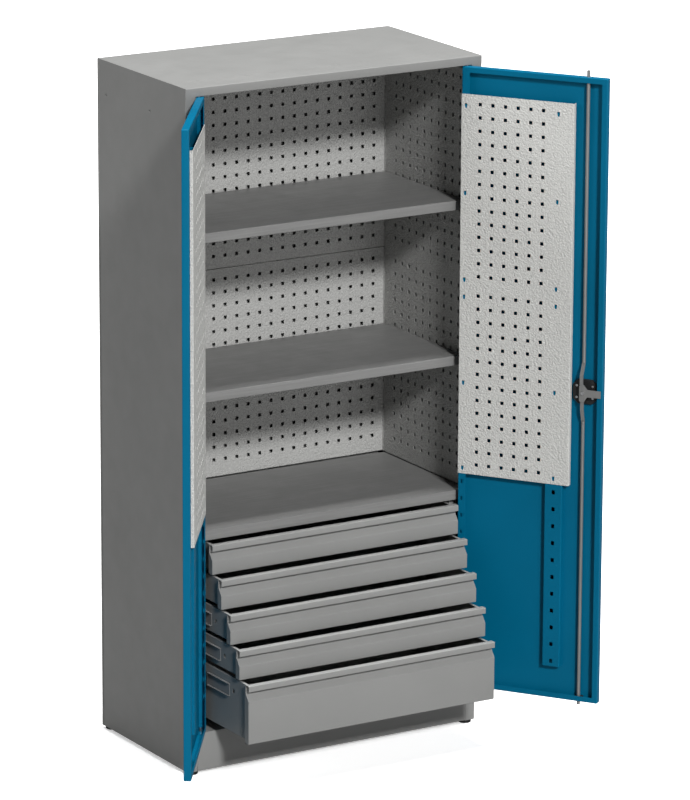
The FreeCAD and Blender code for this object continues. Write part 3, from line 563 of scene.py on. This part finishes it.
SHELF_HALF = 453
SHELF_BACK = 222
SHELF_FRONT = -207
SHELF_HIGH = 28
SHELF_HEM = 14
SHELF_RUN = 60
SHELF_TOPS = {"shelf_upper": 1541, "shelf_middle": 1089}
TRAY_CORNER = BEND + 0.6
for name, top in SHELF_TOPS.items():
    line = fold([(SHELF_RUN, 0), (0, 0), (0, SHELF_HIGH), (SHELF_HEM, SHELF_HIGH)], [BEND, BEND])
    rings = tray(2 * SHELF_HALF, SHELF_BACK - SHELF_FRONT, sheet_outline(line, -PLATE), TRAY_CORNER)
    middle = (0, (SHELF_BACK + SHELF_FRONT) / 2, top)
    shell = moved(loft(rings), middle, (1, 0, 0), (0, 1, 0), (0, 0, -1))
    piece(name + "_sheet", [shell], shelf_paint, "shelf_grey", "cabinet", name)

# ------------------------------------------------------------------ drawer uprights and runners
# Two grey channel uprights carry the drawer block. The telescopic runners are zinc-plated steel
# members on balls: one fixed to the upright, one on the drawer and one between them.
repaint(shelf_paint, "drawer_upright_left", "drawer_upright_right", "drawer_block_cover")
BRUSHED, where, size, give = coat_group("drawn_steel")
streaks = noise(BRUSHED, where, size, detail=3.0, rough=0.7)
cloud = noise(BRUSHED, where, 20.0, detail=3.0)
results(BRUSHED, give, streaks, (reckon(BRUSHED, "ADD", streaks, cloud), 0.6, 1.4), (streaks, 0.35, 0.65))
RUNNER = shaded((0.42, 0.43, 0.44), 0.8)
runner_steel = finish("runner_zinc", BRUSHED, 700.0, RUNNER, (0.3, 0.45), 0.00005, 1.0, (1, 0.04, 1))
SLIDE = shaded((0.2, 0.2, 0.2), 0.85)
slide_steel = finish("slide_zinc", BRUSHED, 700.0, SLIDE, (0.6, 0.7), 0.00005)
DRAWERS = range(1, 6)
repaint(runner_steel, "runner_rails", *(f"runner_{n}_middles" for n in DRAWERS))
repaint(slide_steel, *(f"drawer_{n}_slides" for n in DRAWERS))

# ------------------------------------------------------------------ drawers
# Each drawer is a folded box behind a profiled front. The front is one sheet: an open hooked grip
# lip over a hollow that slopes out to the flat face, with an end plate welded on at each side.
drawer_paint = finish("drawer_grey_coat", FINE_COAT, COAT_GRAIN, CARCASS_COLOURS, COAT_ROUGH, COAT_DEPTH)
LIP_FACE = 16.5
LIP_Y = -215.4
FIRST_TOP = 666
STEP = 88.3
PULL = 50
DRAWER_HIGH = 85
LAST_HIGH = 170
COVE_DEEP = 17.7
FACE_SET = 1.5
SLOPE_DOWN = 24
KINK_DOWN = 45.5
FRONT_DEEP = 22
FRONT_HALF = 402.6
FRONT_BENDS = [2.4, 1.6, 4, 1.2, 1.2]
END_SET = 0.2
for n in DRAWERS:
    top = FIRST_TOP - (n - 1) * STEP
    low = top - (LAST_HIGH if n == DRAWERS[-1] else DRAWER_HIGH)
    y = LIP_Y - n * PULL
    under = top - PLATE
    wall = [
        (y + FRONT_DEEP, low), (y + FACE_SET, low), (y + FACE_SET, top - KINK_DOWN),
        (y + COVE_DEEP, top - SLOPE_DOWN), (y + COVE_DEEP, under),
    ]
    hook = [(y + PLATE, under), (y + PLATE, top - LIP_FACE)]
    front = sheet_outline(fold(wall + hook, FRONT_BENDS), -PLATE)
    plate = np.array(wall + [(y + FRONT_DEEP, under)]) + (END_SET, 0)
    plate[1:3, 0] += PLATE
    plate[1, 1] += PLATE
    shells = [carried(front, "x", -FRONT_HALF, FRONT_HALF)]
    shells += both_ends(plate, FRONT_HALF - PLATE, FRONT_HALF)
    piece(f"drawer_{n}_front_sheet", shells, drawer_paint, "drawer_grey", f"drawer_{n}", f"drawer_{n}_front")
    repaint(drawer_paint, f"drawer_{n}_box")

# ------------------------------------------------------------------ doors
# Each door is a pan of 1.2 mm sheet, folded twice all round and powder coated blue. It turns on
# steel pins in the lip and the sill. A pierced hat rail is welded inside, and the hem by the
# hinge is pierced too, so that perforated panels hook on.
DOOR_COAT = shaded((0.0, 0.112, 0.21), 0.9)
door_paint = finish("door_blue_coat", FINE_COAT, COAT_GRAIN, DOOR_COAT, (0.4, 0.52), COAT_DEPTH, gleam=0.08)
PIVOT_X = 430
PIVOT_Y = -243.5
OPEN = math.radians(125)
DOOR_SIDE = 8.5
DOOR_FACE = 6.5
DOOR_WIDE = 435
DOOR_DEEP = 21
DOOR_LOW = 123
DOOR_HIGH = 1933.5
DOOR_RUN = 30
TURN_IN = 4
HEM = 16
HINGE_HEM = 23
RAIL_LOW = 217
RAIL_HIGH = 1850
RAIL_HALF = 26
RAIL_EDGE = 2
RAIL_BEND = 1.9
RAIL_MIDDLE = 291
HINGE_HOLES = 13
HOOK_FIRST = 15.4
HOOK_STEP = 50
HOOK_COUNT = 33
HOOK_ROWS = RAIL_LOW + HOOK_FIRST + np.arange(HOOK_COUNT) * HOOK_STEP
HOOK_HALF = (5, 6)
HEM_CELL = (7, 12)
RAIL_CELL = (12, 12)


def on_door(shell, hand):
    """A shell drawn on a shut door, in u from the hinge edge, z up and depth from the outer
    face, turned open about the pivot."""
    u = (-hand * math.cos(OPEN), -math.sin(OPEN), 0)
    v = (-hand * math.sin(OPEN), math.cos(OPEN), 0)
    origin = np.array((hand * PIVOT_X, PIVOT_Y, 0)) - DOOR_SIDE * np.array(u) - DOOR_FACE * np.array(v)
    return moved(shell, origin, u, (0, 0, 1), v)


def strip(u, z, depth, holes=(), corner=0.35, half_cell=(9, 12)):
    """A flat pierced strip of a door from a depth outwards by the plate's thickness."""
    spots = np.asarray(holes, float).reshape(-1, 4)
    if len(spots):
        across = net_lines(*u, np.unique(spots[:, 0]), half_cell[0])
        up = net_lines(*z, np.unique(spots[:, 1]), half_cell[1])
        points, faces = pierced(across, up, spots, PLATE, corner=corner)
    else:
        flat = np.array([(u[0], z[0]), (u[1], z[0]), (u[1], z[1]), (u[0], z[1])])
        points, faces = loft(np.stack([np.column_stack([flat, np.full(4, d)]) for d in (0, PLATE)]))
    return np.column_stack([points[:, :2], depth - points[:, 2]]), faces


def upright(corners, bend, thick, low, high):
    """A sheet folded along (u, depth) corners, carried up from low to high."""
    points, faces = carried(sheet_outline(fold(corners, [bend]), thick), "z", low, high)
    return points[:, [0, 2, 1]], faces


def door_piece(name, parts, material, slot, side, node):
    """A piece drawn in a door's frame, riding on that door."""
    shells = [on_door(part, dict(SIDES)[side]) for part in parts]
    return piece(f"door_{side}_{name}", shells, material, slot, "door_" + side, f"door_{side}_{node}")


PANEL_COAT = ((0.53, 0.53, 0.51), (0.45, 0.45, 0.435))
panel_paint = finish("panel_light_coat", HAMMERED, HAMMER_SIZE, PANEL_COAT, HAMMER_ROUGH, HAMMER_DEPTH)
PANEL_WIDE = 337.5
PANEL_HIGH = 549.8
PANEL_FOLD = 14
PANEL_LOWS = {"lower": 756.5, "upper": 1306.5}
PANEL_OUT = DOOR_DEEP + PLATE
PANEL_CORNER = 0.3
FOLD_SHORT = 0.3
FIRST_ROW = 27
PANEL_ROWS = 14
FIRST_COLUMN = 56
PANEL_ACROSS = 6
PANEL_COLUMNS = FIRST_COLUMN + np.arange(PANEL_ACROSS) * PITCH
FIELD = (PANEL_COLUMNS[0] - PITCH / 2, PANEL_COLUMNS[-1] + PITCH / 2)
SLOT_ROW = 34
SLOT_STEP = 250
SLOTS = 3
SLOT_HALF = (4, 7)
SLOT_CORNERS = (0.25, 0.25, 1.0, 1.0)
for side, _ in SIDES:
    line = fold([(DOOR_RUN, 0), (0, 0), (0, DOOR_DEEP), (TURN_IN, DOOR_DEEP)], [BEND, BEND])
    rings = tray(DOOR_WIDE, DOOR_HIGH - DOOR_LOW, sheet_outline(line, -PLATE), TRAY_CORNER)
    full_width = TURN_IN, DOOR_WIDE - TURN_IN
    between = DOOR_LOW + HEM, DOOR_HIGH - HEM
    hinge_holes = [(HINGE_HOLES, z, *HOOK_HALF) for z in HOOK_ROWS]
    pan = [
        loft(rings + (DOOR_WIDE / 2, (DOOR_HIGH + DOOR_LOW) / 2, 0)),
        strip((TURN_IN, HINGE_HEM), between, DOOR_DEEP, hinge_holes, half_cell=HEM_CELL),
        strip((DOOR_WIDE - HEM, DOOR_WIDE - TURN_IN), between, DOOR_DEEP),
        strip(full_width, (DOOR_LOW + TURN_IN, DOOR_LOW + HEM), DOOR_DEEP),
        strip(full_width, (DOOR_HIGH - HEM, DOOR_HIGH - TURN_IN), DOOR_DEEP),
    ]
    door_piece("pan", pan, door_paint, "door_blue", side, "skin")

    crown = DOOR_DEEP - PLATE
    crown_wide = RAIL_MIDDLE - RAIL_HALF + RAIL_EDGE, RAIL_MIDDLE + RAIL_HALF - RAIL_EDGE
    rail_holes = [(RAIL_MIDDLE, z, *HOOK_HALF) for z in HOOK_ROWS]
    rail = [strip(crown_wide, (RAIL_LOW, RAIL_HIGH), crown, rail_holes, half_cell=RAIL_CELL)]
    for out in (-1, 1):
        edge = RAIL_MIDDLE + out * RAIL_HALF
        corners = [(edge - out * RAIL_EDGE, crown), (edge, crown), (edge, PLATE)]
        rail.append(upright(corners, RAIL_BEND, -out * PLATE, RAIL_LOW, RAIL_HIGH))
    door_piece("hook_rail", rail, door_paint, "door_blue", side, "rail")

    for level, low in PANEL_LOWS.items():
        heights = low, low + PANEL_HIGH
        rows = heights[1] - FIRST_ROW - np.arange(PANEL_ROWS) * PITCH
        slot_rows = heights[1] - SLOT_ROW - np.arange(SLOTS) * SLOT_STEP
        near, far = ([(u, z, *SLOT_HALF) for z in slot_rows] for u in (HINGE_HOLES, RAIL_MIDDLE))
        corners = [
            (PANEL_WIDE - BEND, PANEL_OUT), (PANEL_WIDE, PANEL_OUT), (PANEL_WIDE, DOOR_DEEP - PANEL_FOLD),
        ]
        panel = [
            strip((0, FIELD[0]), heights, PANEL_OUT, near, SLOT_CORNERS),
            strip(FIELD, heights, PANEL_OUT, hole_grid(PANEL_COLUMNS, rows), PANEL_CORNER, CELL),
            strip((FIELD[1], PANEL_WIDE - BEND), heights, PANEL_OUT, far, SLOT_CORNERS),
            upright(corners, HEM_BEND, -PLATE, low + FOLD_SHORT, heights[1] - FOLD_SHORT),
        ]
        door_piece("hook_panel_" + level, panel, panel_paint, "panel_light", side, "panel_" + level)
repaint(zinc, "door_left_pins", "door_right_pins")

# ------------------------------------------------------------------ lock
# A black die-cast lock with a lever outside and a steel cam inside; the cam drives two
# zinc-plated rods that bolt the right door into the lip above and the sill below.
LOCK_BLACK = ((0.02, 0.02, 0.02), (0.012, 0.012, 0.012))
lock_black = finish("lock_black_plastic", FINE_COAT, 700.0, LOCK_BLACK, (0.35, 0.5), 0.0001)
ROD_STEEL = shaded((0.30, 0.30, 0.295), 0.75)
rod_steel = finish("rod_zinc", BRUSHED, 500.0, ROD_STEEL, (0.35, 0.5), 0.00005, 0.6, (1, 1, 0.05))
repaint(lock_black, "rod_guides", "handle_lever")
repaint(rod_steel, "lock_cam", "rod_upper", "rod_lower")
repaint(zinc, "lock_spindle", "key_cylinder")
LOCK_U = 377
LOCK_Z = 1033
SPINDLE = 7
BORE = SPINDLE + 0.1


def pad(outline, levels):
    """An outline in (u, z) about the lock's axis, built up by depth: each level is (depth, inset)
    and draws every point in towards the axis by that inset."""
    points = np.asarray(outline, float)
    reach = np.linalg.norm(points, axis=1)[:, None]
    rings = []
    for depth, inset in levels:
        drawn = points * (1 - inset / reach)
        rings.append(np.column_stack([drawn + (LOCK_U, LOCK_Z), np.full(len(points), depth)]))
    return loft(np.array(rings))


def bar(profile, middle=(LOCK_U, LOCK_Z), around=40):
    """A bar across the door: each (radius, depth) of the profile carried round its axis."""
    angle = np.arange(around) * 2 * math.pi / around
    radius, depth = np.asarray(profile, float).T
    u = middle[0] + radius[:, None] * np.cos(angle)
    z = middle[1] + radius[:, None] * np.sin(angle)
    return loft(np.stack([u, z, np.broadcast_to(depth[:, None], u.shape)], -1))


def on_lock(name, shells, material, slot, body, *nodes):
    """A piece drawn in the right door's frame."""
    return piece(name, [on_door(shell, 1) for shell in shells], material, slot, body, *nodes)


# housing: an octagonal black die casting with a raised rim, held by four countersunk screws
HALF = 36
CUT = 21
CHAMFER = 3.0
OCTAGON = [
    (HALF, CUT), (CUT, HALF), (-CUT, HALF), (-HALF, CUT),
    (-HALF, -CUT), (-CUT, -HALF), (CUT, -HALF), (HALF, -CUT),
]
octagon = fold(OCTAGON + OCTAGON[:2], [CHAMFER] * len(OCTAGON))[1:-1]
casing = pad(octagon, [(PLATE, 0), (6.6, 0.4), (8.4, 1.6), (9.2, 3.6), (9.2, 6.5), (8.4, 7.3), (8.4, 27)])
hub_rim = bar([(BORE, 8.2), (11.5, 8.2), (11.5, 9.0), (11.2, 9.2), (BORE, 9.2)])
on_lock("lock_casing", [casing, hub_rim], lock_black, "lock_black", "door_right", "lock_housing")
SCREW_HEAD = [(3.4, 8.3), (3.4, 9.0), (3.0, 9.1), (1.2, 9.1), (0.9, 8.8)]
SCREW_SPOTS = ((24, 17), (-24, 17), (-24, -17), (24, -17))
screws = [bar(SCREW_HEAD, (LOCK_U + u, LOCK_Z + z), around=20) for u, z in SCREW_SPOTS]
on_lock("lock_screws", screws, zinc, "zinc_steel", "door_right")
rose = bar([(BORE, 0), (22, 0), (22, -3.6), (21.2, -4.8), (19.4, -5.6), (16, -6), (BORE, -6)])
on_lock("lock_rose", [rose], lock_black, "lock_black", "door_right", "lock_escutcheon")

# ------------------------------------------------------------------ studio
# A long lens from the left and above, a pale floor, a soft key and a weak fill from the front, a
# light from the left and a wide light overhead.
FLOOR_UNSEEN = (0.25, 0.25, 0.25, 1)
FLOOR_PALE = (0.9, 0.9, 0.9, 1)
FLOOR_GLOW = 0.45
FLOOR_SIZE = 60
floor_paint = bpy.data.materials.new("studio_floor")
floor_paint.use_nodes = True
floor_tree = floor_paint.node_tree
seen = floor_tree.nodes.new("ShaderNodeLightPath").outputs["Is Camera Ray"]
tint = floor_tree.nodes.new("ShaderNodeMix")
tint.data_type = "RGBA"
tint.inputs["A"].default_value = FLOOR_UNSEEN
tint.inputs["B"].default_value = FLOOR_PALE
floor_tree.links.new(seen, tint.inputs["Factor"])
floor_shader = floor_tree.nodes["Principled BSDF"]
floor_shader.inputs["Roughness"].default_value = 1.0
floor_shader.inputs["Specular IOR Level"].default_value = 0.0
floor_shader.inputs["Emission Color"].default_value = (1, 1, 1, 1)
glow = reckon(floor_tree, "MULTIPLY", seen, FLOOR_GLOW)
floor_tree.links.new(glow, floor_shader.inputs["Emission Strength"])
floor_tree.links.new(tint.outputs["Result"], floor_shader.inputs["Base Color"])
bpy.ops.mesh.primitive_plane_add(size=FLOOR_SIZE, location=(0, 0, 0))
floor = bpy.context.object
floor.name = "studio_floor"
floor.data.materials.append(floor_paint)

LIGHTS = (
    ("key", (-0.2, -1.0, 0.616), 3.1, 7),
    ("front_fill", (0.0, -1.0, 0.12), 0.7, 30),
    ("left_side", (-1.0, 0.12, 0.35), 0.95, 20),
    ("overhead", (0.05, 0.0, 1.0), 5.0, 14),
)
for name, (x, y, z), strength, spread in LIGHTS:
    sun = bpy.data.lights.new(name, "SUN")
    sun.energy = strength
    sun.angle = math.radians(spread)
    lamp = bpy.data.objects.new(name, sun)
    bpy.context.scene.collection.objects.link(lamp)
    lamp.rotation_euler = (math.atan2(math.hypot(x, y), z), 0, math.atan2(x, -y))

world = bpy.data.worlds.new("studio")
bpy.context.scene.world = world
world.use_nodes = True
sky = world.node_tree.nodes["Background"]
sky.inputs["Color"].default_value = (1, 1, 1, 1)
sky.inputs["Strength"].default_value = 0.02
bpy.context.scene.view_settings.view_transform = "Standard"

YAW = 0.544258
PITCH_DOWN = 0.261905
ROLL = 0.004601
lens = bpy.data.cameras.new("camera")
lens.lens = 236.36
lens.sensor_width = 36
lens.clip_end = 200
camera = bpy.data.objects.new("camera", lens)
bpy.context.scene.collection.objects.link(camera)
camera.location = (-7.3115, -12.3853, 4.8249)
camera.rotation_mode = "QUATERNION"
aim = Euler((math.pi / 2 - PITCH_DOWN, 0, -YAW), "XYZ").to_quaternion()
camera.rotation_quaternion = aim @ Quaternion((0, 0, 1), ROLL)
bpy.context.scene.camera = camera
